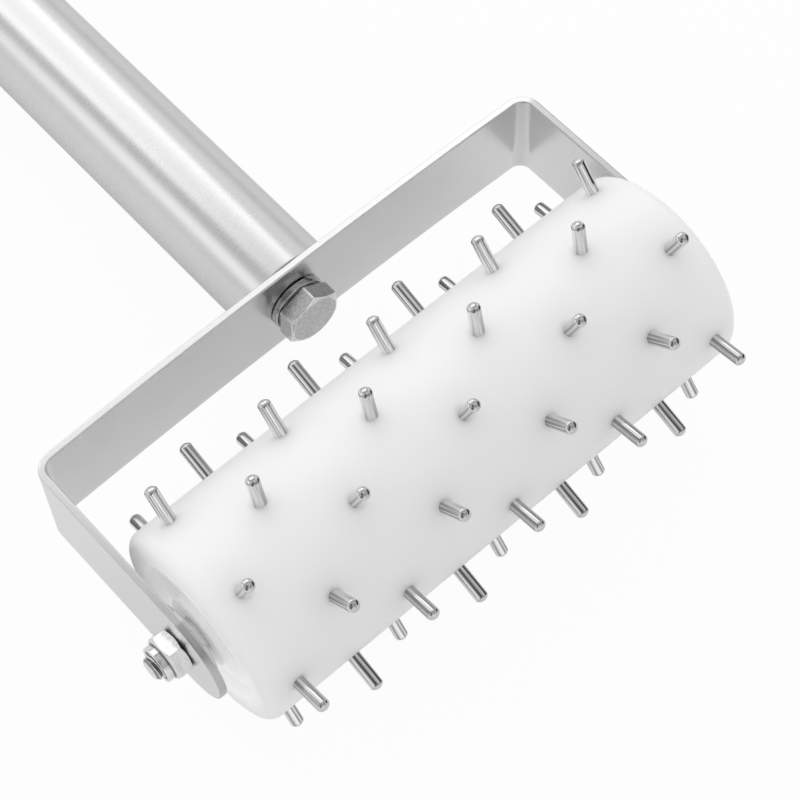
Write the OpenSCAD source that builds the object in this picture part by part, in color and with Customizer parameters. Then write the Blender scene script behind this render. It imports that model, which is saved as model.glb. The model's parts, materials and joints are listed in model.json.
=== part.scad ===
// Dough docker: a plastic roller set with steel pins turns on a bolt between the arms of a bent flat bar,
// and a tube handle is bolted to the back of the bar. It lies on a table, on two rows of pins and the
// handle's end. X runs along the roller from the nut to the bolt's head, Y towards the handle, Z up.
// The origin is on the table, at the middle of the space that the docker takes up.

/* [Roller] */
// Diameter of the roller
roller_d = 48; // [44:0.5:60]
// Length of the roller between its end faces
roller_len = 133.5; // [90:0.5:200]
// Radius of the rounding on the roller's end edges
roller_edge_r = 3; // [0.5:0.25:4]
// Outer diameter of the ring groove in each end face
groove_d = 34; // [26:0.5:38]
// Depth of the ring groove
groove_depth = 2.5; // [0.5:0.25:3]
// Diameter of the hub that the groove leaves standing
hub_d = 17; // [12:0.5:24]

/* [Pins] */
// Diameter of a pin
pin_d = 3; // [1.5:0.1:4]
// Height of a pin's tip above the roller
pin_out = 8.6; // [4:0.1:12]
// Depth of a pin in the roller
pin_in = 12; // [4:0.5:14]
// Height of the dome on a pin's tip
pin_dome = 0.85; // [0.3:0.05:1.2]
// Pins in each of the longer rows
pin_count = 5; // [2:1:8]
// Pairs of one longer and one shorter row around the roller
row_pairs = 6; // [4:1:8]
// Distance from the roller's end face to the first pin
pin_end = 7.75; // [5:0.25:20]

/* [Axle] */
// Diameter of the axle bolt
axle_d = 6; // [4:0.5:7]
// Width across the flats of the axle bolt's head and nut
axle_flats = 10; // [9:0.5:13]
// Height of the axle bolt's head
axle_head_h = 4; // [2:0.25:6]
// Wall of the sleeve on the axle bolt
sleeve_wall = 0.9; // [0.5:0.1:1.4]
// Diameter of the washers beside the roller
side_washer_d = 18; // [12:0.5:24]
// Thickness of the washers beside the roller
side_washer_t = 1.4; // [0.8:0.1:3]
// End play between the roller and the washer at the nut's side
play_left = 1.65; // [0.1:0.05:2]
// End play between the roller and the washer at the bolt head's side
play_right = 0.1; // [0.1:0.05:2]
// Height of the nut's hexagon
nut_hex_h = 4.2; // [3:0.1:6]
// Height of the nut's round collar
nut_collar_h = 1.8; // [1.2:0.1:3]
// Diameter of the nut's round collar
nut_collar_d = 8.6; // [8.4:0.1:9]
// Thickness of the nylon ring in the collar
nut_ring_t = 0.9; // [0.5:0.05:1]
// Width of the nylon ring
nut_ring_w = 0.7; // [0.3:0.05:0.8]
// Length of thread that stands out of the nut
thread_out = 1.6; // [0.5:0.25:6]

/* [Yoke] */
// Width of the flat bar
bar_w = 25; // [18:0.5:40]
// Thickness of the flat bar
bar_t = 1.8; // [1:0.1:4]
// Inner radius of the bends
bend_r = 3; // [0.5:0.25:5]
// Distance from the axle to the middle of each arm's round end
arm_over = 1; // [0:0.25:8]
// Space between the turning pins and the handle bolt's head
tip_gap = 8.1; // [2:0.1:30]

/* [Handle] */
// Outer diameter of the handle tube
tube_d = 25.4; // [20:0.1:32]
// Wall of the handle tube
tube_wall = 1.2; // [0.8:0.1:2.5]
// Length of the handle tube
tube_len = 157; // [100:1:250]
// Length of the threaded plug in the tube's front end
plug_len = 18; // [17.5:0.5:40]
// Thickness of the end cap's disc
cap_t = 2; // [1.2:0.1:4]
// Length of the end cap's skirt
cap_skirt_len = 10; // [4:0.5:30]
// Wall of the end cap's skirt
cap_skirt_wall = 1.2; // [0.6:0.1:3]
// Rounding on the end cap's rim
cap_edge_r = 1; // [0.25:0.05:1.15]

/* [Handle bolt] */
// Diameter of the handle bolt
bolt_d = 8; // [5:0.5:10]
// Width across the flats of the handle bolt's head
bolt_flats = 13; // [12:0.5:17]
// Height of the handle bolt's hexagon
bolt_hex_h = 4.3; // [3:0.1:8]
// Height of the round seat under the hexagon
bolt_seat_h = 0.5; // [0.2:0.1:1]
// Diameter of the round seat under the hexagon
bolt_seat_d = 11.6; // [11:0.1:11.8]
// Length of the handle bolt in the plug
bolt_in_plug = 16.5; // [6:0.5:17]
// Width of the spring washer's ring
spring_washer_w = 2.8; // [1.5:0.1:4]
// Thickness of the spring washer
spring_washer_t = 2; // [1:0.1:3]
// Turn of the handle bolt's head about its axis
bolt_turn = 35; // [0:1:59]
// Turn of the axle bolt's head and nut about their axis
nut_turn = 25; // [0:1:59]
// Turn of the spring washer's slit, from upright towards the axle bolt's head
slit_turn = 30; // [0:5:355]

/* [Fits] */
// Radial clearance of the roller on the sleeve
run_gap = 0.05; // [0.02:0.01:0.1]
// Radial clearance of a bolt in a plain hole
bolt_gap = 0.2; // [0.05:0.05:0.5]
// Radial clearance of a piece that is pressed, screwed or bonded in its seat
seat_gap = 0.02; // [0.01:0.01:0.05]

/* [Hidden] */
$fn = 96;

// Rows of pins, one every row_step degrees, from just behind the lowest line of the roller
row_count = 2 * row_pairs;
row_step = 360 / row_count;
function row_name(i) = str("pin_row_", i);
function row_angle(i) = 180 + (i - 0.5) * row_step;
function row_pins(i) = i % 2 == 1 ? pin_count : pin_count - 1;
pin_pitch = (roller_len - 2 * pin_end) / (pin_count - 1);

// Overrun of a cut past the face that it opens
cut = 1;

// Pin, its length and the ball radius of its tip
pin_r = pin_d / 2;
pin_len = pin_in + pin_out;
dome_r = (pin_r * pin_r + pin_dome * pin_dome) / (2 * pin_dome);
roller_r = roller_d / 2;
tip_r = roller_r + pin_out;

// Axle, from the nut's end at minus X to the bolt's head
axle_r = axle_d / 2;
sleeve_r = axle_r + bolt_gap + sleeve_wall;
sleeve_left = -roller_len / 2 - play_left;
sleeve_right = roller_len / 2 + play_right;
arm_left = sleeve_left - side_washer_t - bar_t;
arm_right = sleeve_right + side_washer_t + bar_t;
yoke_out = arm_right - arm_left;
nut_h = nut_hex_h + nut_collar_h;
axle_len = yoke_out + nut_h + thread_out;
thread_tip = axle_d / 8;
collar_r = nut_collar_d / 2;
collar_edge_r = nut_collar_h / 3;
ring_seat_r = axle_r + nut_ring_w;

// Yoke, with the distance from the axle to the back of the bar's inner face
head_stack = spring_washer_t + bolt_seat_h + bolt_hex_h;
yoke_reach = tip_r + tip_gap + head_stack;
yoke_back = yoke_reach + bar_t;
arm_end_r = bar_w / 2;

// Handle
tube_r = tube_d / 2;
tube_bore_r = tube_r - tube_wall;
handle_end = yoke_back + tube_len + cap_t;
bolt_r = bolt_d / 2;
bolt_len = spring_washer_t + bar_t + bolt_in_plug;
spring_washer_slit = spring_washer_t / 2;

// Share of the flats that a chamfered hexagon keeps as its round face
hex_face_share = 0.94;
hex_chamfer = 30;

// How the docker lies: half a row step lifts two rows clear of the lowest line, and the handle tips down
// until the rim of its cap is on the table
half_step = row_step / 2;
axle_h = (tip_r - dome_r) * cos(half_step) + dome_r;
cap_ring_r = tube_r - cap_edge_r;
cap_ring_y = handle_end - cap_edge_r;
cap_reach = sqrt(cap_ring_y * cap_ring_y + cap_ring_r * cap_ring_r);
handle_tilt = asin((axle_h - cap_edge_r) / cap_reach) - atan2(cap_ring_r, cap_ring_y);

// Middle of the space that the docker takes up, seen from the axle's middle
low_x = arm_left - nut_h - thread_out;
high_x = arm_right + axle_head_h;
front_turn = min([for (i = [1:row_count]) abs(row_angle(i) - 450)]);
low_y = -(tip_r - dome_r) * cos(front_turn) - dome_r;
high_y = cap_ring_y * cos(handle_tilt) + cap_ring_r * sin(handle_tilt) + cap_edge_r;
mid_x = (low_x + high_x) / 2;
mid_y = (low_y + high_y) / 2;

// Places

module at_axle() {
    translate([-mid_x, -mid_y, axle_h]) children();
}

// The yoke's own directions: X along the axle, Y along the handle
module at_yoke() {
    at_axle() rotate([-handle_tilt, 0, 0]) children();
}

// Z of the children runs along the axle towards the bolt's head
module along_axle(x) {
    at_yoke() translate([x, 0, 0]) rotate([0, 90, 0]) children();
}

// Z of the children runs along the handle, away from the roller
module along_handle(y) {
    at_yoke() translate([0, y, 0]) rotate([-90, 0, 0]) children();
}

// Shapes that repeat

module ring(outer_r, inner_r, length) {
    difference() {
        cylinder(r = outer_r, h = length);
        translate([0, 0, -cut]) cylinder(r = inner_r, h = length + 2 * cut);
    }
}

// A hexagon with its corners turned off at the top, and at the bottom too for a nut
module hexagon(flats, height, both_ends = false) {
    corner_r = flats / 2 / cos(30);
    face_r = flats / 2 * hex_face_share;
    outer_r = corner_r + cut;
    drop = (outer_r - face_r) * tan(hex_chamfer);
    low_r = both_ends ? face_r : outer_r;
    low_z = both_ends ? drop : 0;
    intersection() {
        cylinder(r = corner_r, h = height, $fn = 6);
        rotate_extrude()
            polygon([[0, 0], [low_r, 0], [outer_r, low_z], [outer_r, height - drop], [face_r, height], [0, height]]);
    }
}

// Root at zero, tip at the top
module pin() {
    rotate_extrude() intersection() {
        square([pin_r, pin_len]);
        union() {
            square([pin_r, pin_len - pin_dome]);
            translate([0, pin_len - dome_r]) circle(r = dome_r);
        }
    }
}

// The children stand on the roller's axis and point outwards at each pin of row i
module at_pins(i) {
    count = row_pins(i);
    at_axle() rotate([row_angle(i), 0, 0])
        for (k = [0:count - 1])
            translate([(k - (count - 1) / 2) * pin_pitch, 0, 0]) children();
}

// Roller

module roller_profile() {
    half = roller_len / 2;
    difference() {
        union() {
            translate([0, -half + roller_edge_r]) square([roller_r, roller_len - 2 * roller_edge_r]);
            translate([0, -half]) square([roller_r - roller_edge_r, roller_len]);
            for (side = [-1, 1])
                translate([roller_r - roller_edge_r, side * (half - roller_edge_r)]) circle(r = roller_edge_r);
        }
        translate([0, -half - cut]) square([sleeve_r + run_gap, roller_len + 2 * cut]);
        for (side = [-1, 1])
            translate([hub_d / 2, side * half - groove_depth]) square([(groove_d - hub_d) / 2, 2 * groove_depth]);
        translate([-roller_r, -half]) square([roller_r, roller_len]);
    }
}

module roller_body() {
    color("whitesmoke") difference() {
        at_axle() rotate([0, 90, 0]) rotate_extrude() roller_profile();
        for (i = [1:row_count])
            at_pins(i) translate([0, 0, roller_r - pin_in]) cylinder(r = pin_r + seat_gap, h = pin_len);
    }
}

module pin_row(i) {
    color("silver") at_pins(i) translate([0, 0, roller_r - pin_in]) pin();
}

// Axle

module axle_bolt() {
    color("gainsboro") along_axle(low_x) {
        cylinder(r1 = axle_r - thread_tip, r2 = axle_r, h = thread_tip);
        translate([0, 0, thread_tip]) cylinder(r = axle_r, h = axle_len - thread_tip);
        translate([0, 0, axle_len]) rotate([0, 0, nut_turn]) hexagon(axle_flats, axle_head_h);
    }
}

module axle_sleeve() {
    color("silver") along_axle(sleeve_left) ring(sleeve_r, axle_r + bolt_gap, sleeve_right - sleeve_left);
}

module side_washer(start) {
    color("lightgray") along_axle(start) ring(side_washer_d / 2, axle_r + bolt_gap, side_washer_t);
}

module side_washer_left() {
    side_washer(sleeve_left - side_washer_t);
}

module side_washer_right() {
    side_washer(sleeve_right);
}

// Collar with a rolled edge, and a seat for the nylon ring inside it
module nut_collar() {
    rotate_extrude() difference() {
        union() {
            square([collar_r, nut_collar_h - collar_edge_r]);
            square([collar_r - collar_edge_r, nut_collar_h]);
            translate([collar_r - collar_edge_r, nut_collar_h - collar_edge_r]) circle(r = collar_edge_r);
        }
        square([axle_r + seat_gap, nut_collar_h]);
        square([ring_seat_r + seat_gap, nut_ring_t + seat_gap]);
    }
}

module axle_nut() {
    color("gainsboro") along_axle(arm_left) mirror([0, 0, 1]) {
        difference() {
            rotate([0, 0, nut_turn]) hexagon(axle_flats, nut_hex_h, both_ends = true);
            translate([0, 0, -cut]) cylinder(r = axle_r + seat_gap, h = nut_hex_h + 2 * cut);
        }
        translate([0, 0, nut_hex_h]) nut_collar();
    }
}

module axle_nut_ring() {
    color("ivory") along_axle(arm_left - nut_hex_h - nut_ring_t)
        ring(ring_seat_r, axle_r + seat_gap, nut_ring_t);
}

// Yoke

// The bent bar seen along its width, with its inner face between the arms
module bar_outline(inset, corner_r) {
    left = arm_left + inset;
    right = arm_right - inset;
    back = yoke_back - inset;
    front = -arm_over - arm_end_r - cut - inset;
    translate([left, front]) square([right - left, back - corner_r - front]);
    translate([left + corner_r, front]) square([right - left - 2 * corner_r, back - front]);
    for (x = [left + corner_r, right - corner_r])
        translate([x, back - corner_r]) circle(r = corner_r);
}

module yoke() {
    color("lightgray") difference() {
        at_yoke() intersection() {
            translate([0, 0, -bar_w / 2]) linear_extrude(height = bar_w) difference() {
                bar_outline(0, bend_r + bar_t);
                bar_outline(bar_t, bend_r);
            }
            translate([arm_left, 0, 0]) rotate([90, 0, 90]) linear_extrude(height = yoke_out) union() {
                translate([-arm_over, 0]) circle(r = arm_end_r);
                translate([-arm_over, -bar_w / 2]) square([yoke_back + arm_over, bar_w]);
            }
        }
        along_axle(arm_left - cut) cylinder(r = axle_r + bolt_gap, h = yoke_out + 2 * cut);
        along_handle(yoke_reach - cut) cylinder(r = bolt_r + bolt_gap, h = bar_t + 2 * cut);
    }
}

// Handle

module handle_tube() {
    color("silver") along_handle(yoke_back) ring(tube_r, tube_bore_r, tube_len);
}

module handle_plug() {
    color("lightgray") along_handle(yoke_back) ring(tube_bore_r - seat_gap, bolt_r + seat_gap, plug_len);
}

module handle_cap() {
    skirt_r = tube_bore_r - seat_gap;
    color("silver") along_handle(yoke_back + tube_len) rotate_extrude() {
        square([tube_r, cap_t - cap_edge_r]);
        square([tube_r - cap_edge_r, cap_t]);
        translate([tube_r - cap_edge_r, cap_t - cap_edge_r])
            intersection() {
                circle(r = cap_edge_r);
                square([cap_edge_r, cap_edge_r]);
            }
        translate([skirt_r - cap_skirt_wall, -cap_skirt_len]) square([cap_skirt_wall, cap_skirt_len]);
    }
}

module handle_bolt() {
    color("silver") along_handle(yoke_reach - spring_washer_t) {
        cylinder(r = bolt_r, h = bolt_len);
        mirror([0, 0, 1]) {
            cylinder(d = bolt_seat_d, h = bolt_seat_h);
            translate([0, 0, bolt_seat_h]) rotate([0, 0, bolt_turn]) hexagon(bolt_flats, bolt_hex_h);
        }
    }
}

module spring_washer() {
    inner_r = bolt_r + bolt_gap;
    outer_r = inner_r + spring_washer_w;
    color("gray") along_handle(yoke_reach - spring_washer_t) difference() {
        ring(outer_r, inner_r, spring_washer_t);
        rotate([0, 0, slit_turn - 90]) translate([0, -spring_washer_slit / 2, -cut])
            cube([outer_r + cut, spring_washer_slit, spring_washer_t + 2 * cut]);
    }
}

roller_body();
for (i = [1:row_count])
    pin_row(i);
axle_bolt();
axle_sleeve();
side_washer_left();
side_washer_right();
axle_nut();
axle_nut_ring();
yoke();
handle_tube();
handle_plug();
handle_cap();
handle_bolt();
spring_washer();
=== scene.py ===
# %% [markdown]
# # A dough docker
# A roller of white plastic carries rows of steel pins. It turns on a bolt between the arms of a bent
# steel bar, and a tube handle is bolted to the back of that bar. The sizes and places come from the
# packed model, so every piece below is built straight into its place, in metres, with X along the roller,
# Y towards the handle's end and Z up from the table.

import json
from math import cos, degrees, pi, radians, sin, tan

import bmesh
import bpy
import numpy as np
from mathutils import Matrix, Vector


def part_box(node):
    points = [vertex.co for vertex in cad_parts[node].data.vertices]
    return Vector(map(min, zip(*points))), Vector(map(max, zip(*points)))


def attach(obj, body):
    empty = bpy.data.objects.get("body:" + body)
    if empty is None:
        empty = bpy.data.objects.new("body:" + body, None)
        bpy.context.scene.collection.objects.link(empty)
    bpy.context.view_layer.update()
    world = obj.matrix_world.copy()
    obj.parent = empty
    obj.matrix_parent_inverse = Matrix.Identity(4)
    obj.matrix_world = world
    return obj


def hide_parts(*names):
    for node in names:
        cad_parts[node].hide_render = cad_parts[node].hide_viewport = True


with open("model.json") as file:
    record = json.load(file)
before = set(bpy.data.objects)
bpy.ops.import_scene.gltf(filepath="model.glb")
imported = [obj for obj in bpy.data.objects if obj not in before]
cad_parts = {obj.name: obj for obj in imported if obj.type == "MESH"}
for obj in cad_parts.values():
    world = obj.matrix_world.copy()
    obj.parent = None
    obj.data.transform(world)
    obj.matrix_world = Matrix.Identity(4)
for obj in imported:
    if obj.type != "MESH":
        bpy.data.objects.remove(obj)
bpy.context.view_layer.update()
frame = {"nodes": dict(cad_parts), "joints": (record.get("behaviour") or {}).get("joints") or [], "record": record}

# %% [markdown]
# ## Places
# The roller's hinge gives the axle's middle, and the handle's mount gives the direction of the handle,
# which tips down to the table. From these two come the three directions of the yoke. A matrix with those
# directions as columns carries a shape from a bench, where it stands upright at zero, to its place in the
# docker. So each shape is worked out in its own simple coordinates, and no object has to be moved
# afterwards.

# %% Places along the axle and along the handle
mm = 0.001
spin = frame["joints"][0]
handle_mount = frame["record"]["mounts"][0]
axle = Vector(spin["pos_m"])
along = Vector(spin["axis"])
back = Vector(handle_mount["axis"]).normalized()
up = along.cross(back)


def place(forward, sideways, start):
    """Matrix that turns Z to forward and X to sideways, and carries zero to start."""
    turn = Matrix((sideways, forward.cross(sideways), forward)).transposed().to_4x4()
    return Matrix.Translation(start) @ turn


def on_axle(x):
    """Z along the axle, X up: zero is x metres from the roller's middle."""
    return place(along, up, axle + along * x)


def on_handle(y):
    """Z along the handle, X along the axle: zero is y metres behind the axle."""
    return place(back, along, axle + back * y)


print("axle at", [round(c / mm, 2) for c in axle], "mm, handle points to", [round(c, 3) for c in back])

# %% Where a node of the model starts and ends
def low(node, direction):
    """Distance of a node's nearest point from the axle's middle, along a direction."""
    points = np.array([vertex.co for vertex in frame["nodes"][node].data.vertices])
    return float(((points - np.array(axle)) @ np.array(direction)).min())


def high(node, direction):
    """Distance of a node's farthest point from the axle's middle, along a direction."""
    return -low(node, -direction)


print("the yoke's back is", round(high("yoke", back) / mm, 2), "mm behind the axle")

# %% [markdown]
# ## Camera
# The photograph looks down on the docker from the nut's side, with the handle running off at the top
# left. Its place was found from the pins: their tips and roots are known points, so only one camera puts
# them all where the picture shows them. It stands about half a metre away behind a long lens.

# %% The camera at the photograph's angle
VIEW_TURN = radians(-46.02)
VIEW_RISE = radians(64.83)
VIEW_ROLL = radians(4.95)
VIEW_DISTANCE = 489.8 * mm
VIEW_TARGET = Vector((-1.26, 11.32, 3.27)) * mm
LENS = 103.07

towards = Vector((sin(VIEW_TURN) * cos(VIEW_RISE), -cos(VIEW_TURN) * cos(VIEW_RISE), sin(VIEW_RISE)))
level = Vector((0, 0, 1)).cross(towards).normalized()
right = level * cos(VIEW_ROLL) + towards.cross(level) * sin(VIEW_ROLL)
camera_data = bpy.data.cameras.new("camera")
camera_data.lens = LENS
camera = bpy.data.objects.new("camera", camera_data)
camera.matrix_world = place(towards, right, axle + VIEW_TARGET + towards * VIEW_DISTANCE)
bpy.context.scene.collection.objects.link(camera)
bpy.context.scene.camera = camera
bpy.context.scene.view_settings.view_transform = "Standard"
print("camera at", [round(c / mm) for c in camera.matrix_world.translation], "mm")

# %% [markdown]
# ## From numbers to a mesh
# Almost every piece of the docker was turned, drawn or bent, so each has a section that runs around or
# along something. Blender could turn or sweep such a section with modifiers. Here it is worked out as a
# grid of points, rings one after another, because then every point is placed by a formula that can be
# read. Neighbouring rings are joined by four-sided faces. A piece with a hole through it is looped: its
# last ring is joined to its first. Any other piece starts and ends in rings that fall together in a point
# or a seam. Such points are merged, and the faces are then turned outwards. Shading is smooth except
# across edges that are really sharp.

# %% Grids of points
def moved(matrix, points):
    """Carries points by a matrix."""
    turn = np.array(matrix)
    return points @ turn[:3, :3].T + turn[:3, 3]


def grid_of(x, y, z):
    """A grid of points from three coordinates. A row, a column or a number spreads over the whole
    grid."""
    return np.stack(np.broadcast_arrays(x, y, z), axis=-1)


def around(angle, radius, height):
    """Points about Z: x and y are the radius times the angle's cosine and sine."""
    return grid_of(radius * np.cos(angle), radius * np.sin(angle), height)


def turned(outline, matrix, steps=96):
    """Solid of revolution: each (radius, height) of the outline goes once around Z."""
    angle = np.linspace(0, 2 * pi, steps, endpoint=False)
    return moved(matrix, around(angle, outline[:, :1], outline[:, 1:]))


print("two points turned in six steps give a grid of", turned(np.eye(2), on_axle(0), steps=6).shape)

# %% A grid becomes a mesh
SHARP = radians(32)
MERGE = 0.0005 * mm


def mesh_of(name, grids, looped):
    """One mesh from closed grids. A face joins a point, the next in its ring, and the same two in the
    next ring."""
    corners, faces, first = [], [], 0
    for grid in grids:
        rings, steps = grid.shape[:2]
        index = first + np.arange(rings * steps).reshape(rings, steps)
        beside = np.roll(index, -1, axis=1)
        ahead, ahead_beside = np.roll(index, -1, axis=0), np.roll(beside, -1, axis=0)
        joined = np.stack([index, beside, ahead_beside, ahead], axis=-1)
        faces.append(joined[:rings if looped else -1].reshape(-1, 4))
        corners.append(grid.reshape(-1, 3))
        first += rings * steps
    mesh = bpy.data.meshes.new(name)
    mesh.from_pydata(np.concatenate(corners), [], np.concatenate(faces))
    solid = bmesh.new()
    solid.from_mesh(mesh)
    bmesh.ops.remove_doubles(solid, verts=solid.verts, dist=MERGE)
    bmesh.ops.dissolve_degenerate(solid, edges=solid.edges, dist=MERGE)
    bmesh.ops.recalc_face_normals(solid, faces=solid.faces)
    solid.to_mesh(mesh)
    solid.free()
    mesh.shade_smooth()
    mesh.set_sharp_from_angle(angle=SHARP)
    return mesh


print("points within", MERGE / mm, "mm are merged, edges over", round(degrees(SHARP)), "degrees stay sharp")

# %% A mesh becomes a piece
pieces = {}


def make(name, grids, body, node, looped=True):
    """A piece of the docker: it rides on a body and stands for a CAD node."""
    piece = bpy.data.objects.new(name, mesh_of(name, grids, looped))
    bpy.context.scene.collection.objects.link(piece)
    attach(piece, body)
    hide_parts(node)
    pieces[name] = piece
    print(name, len(piece.data.polygons), "faces")
    return piece


# %% [markdown]
# ## Rounded outlines
# No edge of a real piece is perfectly sharp, and a rounded edge is what catches the light. A bevel
# modifier rounds edges too, but it needs a weight on every edge to give each its own radius. So an
# outline is a list of corners with a radius each. A corner becomes an arc, and a support point a little
# before and after the arc keeps the flat beside it flat in the shading.

# %% Outlines with rounded corners
ARC_STEPS = 5
SUPPORT_SHARE = 0.35


def arc_between(start, end, turn, steps):
    """Arc about zero from start to end: each point blends the two by the sine of the turn that is left
    and the sine of the turn that is done, over the sine of the whole turn."""
    done = np.linspace(0, 1, steps + 1)[:, None]
    return (start * np.sin((1 - done) * turn) + end * np.sin(done * turn)) / np.sin(turn)


def rounded(corners, steps=ARC_STEPS):
    """Closed outline of (a, b, radius) corners. Each is cut back by its radius over the tangent of half
    its angle, and an arc joins the two cuts."""
    outline = []
    for i, (a, b, radius) in enumerate(corners):
        here = np.array([a, b])
        if radius == 0:
            outline.append(here)
            continue
        before = np.array(corners[i - 1][:2]) - here
        after = np.array(corners[(i + 1) % len(corners)][:2]) - here
        before_length, after_length = np.linalg.norm(before), np.linalg.norm(after)
        before, after = before / before_length, after / after_length
        half = np.arccos(np.clip(before @ after, -1, 1)) / 2
        cut = radius / np.tan(half)
        middle = here + (before + after) / np.linalg.norm(before + after) * radius / np.sin(half)
        support = cut + SUPPORT_SHARE * radius
        if before_length > support:
            outline.append(here + before * support)
        arc = arc_between(here + before * cut - middle, here + after * cut - middle, pi - 2 * half, steps)
        outline.extend(middle + arc)
        if after_length > support:
            outline.append(here + after * support)
    return np.array(outline)


print("a triangle with one round corner has", len(rounded([(0, 0, 1), (9, 0, 0), (0, 9, 0)])), "points")

# %% [markdown]
# ## Roller
# The roller is turned from white plastic. Both end faces have a ring groove, which leaves a hub around
# the bearing, and the outer edges are generously rounded. Cylinders and booleans could build it, but one
# closed outline turned around the axle has clean faces and its own radius on every edge.

# %% The roller's body
ROLLER_RADIUS = 24 * mm
ROLLER_EDGE = 3 * mm
HUB_RADIUS = 8.5 * mm
GROOVE_RADIUS = 17 * mm
GROOVE_DEPTH = 2.5 * mm
GROOVE_EDGE = 0.4 * mm
BORE_RADIUS = 4.15 * mm

roller_end = high("roller_body", along)


def roller_outline():
    """Outline from the bore out over the hub, through the groove and around the outer edge, then
    mirrored."""
    half = [
        (BORE_RADIUS, roller_end, GROOVE_EDGE),
        (HUB_RADIUS, roller_end, GROOVE_EDGE),
        (HUB_RADIUS, roller_end - GROOVE_DEPTH, GROOVE_EDGE),
        (GROOVE_RADIUS, roller_end - GROOVE_DEPTH, GROOVE_EDGE),
        (GROOVE_RADIUS, roller_end, GROOVE_EDGE),
        (ROLLER_RADIUS, roller_end, ROLLER_EDGE),
    ]
    return rounded(half + [(radius, -height, edge) for radius, height, edge in reversed(half)], steps=8)


make("roller", [turned(roller_outline(), on_axle(0), steps=192)], "roller", "roller_body")

# %% [markdown]
# ## Pins
# The pins are short lengths of polished steel rod with domed tips, pressed deep into the roller. One pin
# could be modelled and copied, but here it is one outline, which costs little to turn again at each
# place. First comes that outline.

# %% The outline of a pin
PIN_RADIUS = 1.5 * mm
PIN_DOME = 0.85 * mm
PIN_EDGE = 0.6 * mm
PIN_TIP = 32.6 * mm
PIN_ROOT = 12 * mm
DOME_STEPS = 6
EDGE_STEPS = 4


def pin_outline():
    """Rod with a domed tip, in heights from the axle. The dome is an arc whose ball has the radius (rod
    radius squared plus dome height squared) over twice the dome height. A small arc eases it into the
    rod."""
    ball = (PIN_RADIUS ** 2 + PIN_DOME ** 2) / (2 * PIN_DOME)
    reach = np.arcsin((PIN_RADIUS - PIN_EDGE) / (ball - PIN_EDGE))
    angle = np.linspace(0, reach, DOME_STEPS + 1)
    dome = np.stack([ball * np.sin(angle), PIN_TIP - ball + ball * np.cos(angle)], axis=1)
    middle = np.array([PIN_RADIUS - PIN_EDGE, PIN_TIP - ball + (ball - PIN_EDGE) * np.cos(reach)])
    angle = np.linspace(reach, pi / 2, EDGE_STEPS + 1)
    edge = middle + PIN_EDGE * np.stack([np.sin(angle), np.cos(angle)], axis=1)
    rod = np.array([[PIN_RADIUS, PIN_TIP - 2 * PIN_DOME], [PIN_RADIUS, PIN_ROOT], [0, PIN_ROOT]])
    return np.concatenate([dome, edge[1:], rod])


print("a pin's outline has", len(pin_outline()), "points")

# %% [markdown]
# Rows of five and of four pins take turns around the roller. Each CAD node is one row, so the loop reads
# where the row lies and how many pins it has, and stands the turned outline at each of its places.

# %% The pins, row by row
PIN_PITCH = 29.5 * mm


def row_direction(node):
    """Direction from the axle to the middle of a row of pins."""
    low_corner, high_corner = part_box(node)
    middle = (low_corner + high_corner) / 2 - axle
    return (middle - along * middle.dot(along)).normalized()


row_nodes = [node for node in frame["nodes"] if node.startswith("pin_row_")]
for node in row_nodes:
    out = row_direction(node)
    length = high(node, along) - low(node, along)
    count = round((length - 2 * PIN_RADIUS) / PIN_PITCH) + 1
    starts = (np.arange(count) - (count - 1) / 2) * PIN_PITCH
    row = [turned(pin_outline(), place(out, along, axle + along * x), steps=40) for x in starts]
    make(node.replace("pin_row", "pins"), row, "roller", node, looped=False)

# %% [markdown]
# ## Hexagons
# Bolt heads and nuts are hexagon bar with the corners turned off. A cone cut from a hexagon with a
# boolean would give that shape with untidy faces. Rings give it neatly: the turning cuts a cone, the cone
# meets each flat in an arc, and one ring is placed exactly there.

# %% Hexagon rings
FLAT_STEPS = 12
CHAMFER_SLOPE = tan(radians(30))
FACE_SHARE = 0.94

hex_angle = np.linspace(0, 2 * pi, 6 * FLAT_STEPS, endpoint=False)


def rings_of(profile):
    """A ring for each (radius, height); both may vary with the angle."""
    return [around(hex_angle, radius, height) for radius, height in profile]


def hexagon_sides(flats, bottom, top, face_share=FACE_SHARE, both_ends=False):
    """Rings up a hexagon's sides. Its radius is half the width over the flats, over the cosine of the
    angle from the middle of a flat. A chamfer drops by its slope times the radius beyond the round
    face."""
    radius = flats / 2 / np.cos(np.mod(hex_angle, pi / 3) - pi / 6)
    face = face_share * flats / 2
    drop = (radius - face) * CHAMFER_SLOPE
    start = [(face, bottom), (radius, bottom + drop)] if both_ends else [(radius, bottom)]
    return rings_of(start + [(radius, top - drop), (face, top)])


def turned_by(rings, turn):
    """Turns rings about Z."""
    return moved(Matrix.Rotation(turn, 4, "Z"), np.array(rings))


print("a hexagon has", len(hex_angle), "points around it")

# %% [markdown]
# ## Handle bolt
# The bolt that holds the handle sits in the middle of the yoke's back, its head towards the roller and
# turned as the photograph shows. Its shank passes through the bar into the handle's plug. The corners of
# a used bolt are slightly worn, and here a bevel modifier is the simple way, because all of them are worn
# alike.

# %% A bevel for worn corners
EASED_FROM = radians(25)
EASE_STEPS = 2


def ease_edges(piece, width):
    """Rounds the edges of a piece where its faces turn by more than the angle above."""
    bevel = piece.modifiers.new("eased edges", "BEVEL")
    bevel.width = width
    bevel.segments = EASE_STEPS
    bevel.limit_method = "ANGLE"
    bevel.angle_limit = EASED_FROM
    bevel.harden_normals = True
    print(piece.name, "has edges eased by", round(width / mm, 2), "mm")


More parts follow.
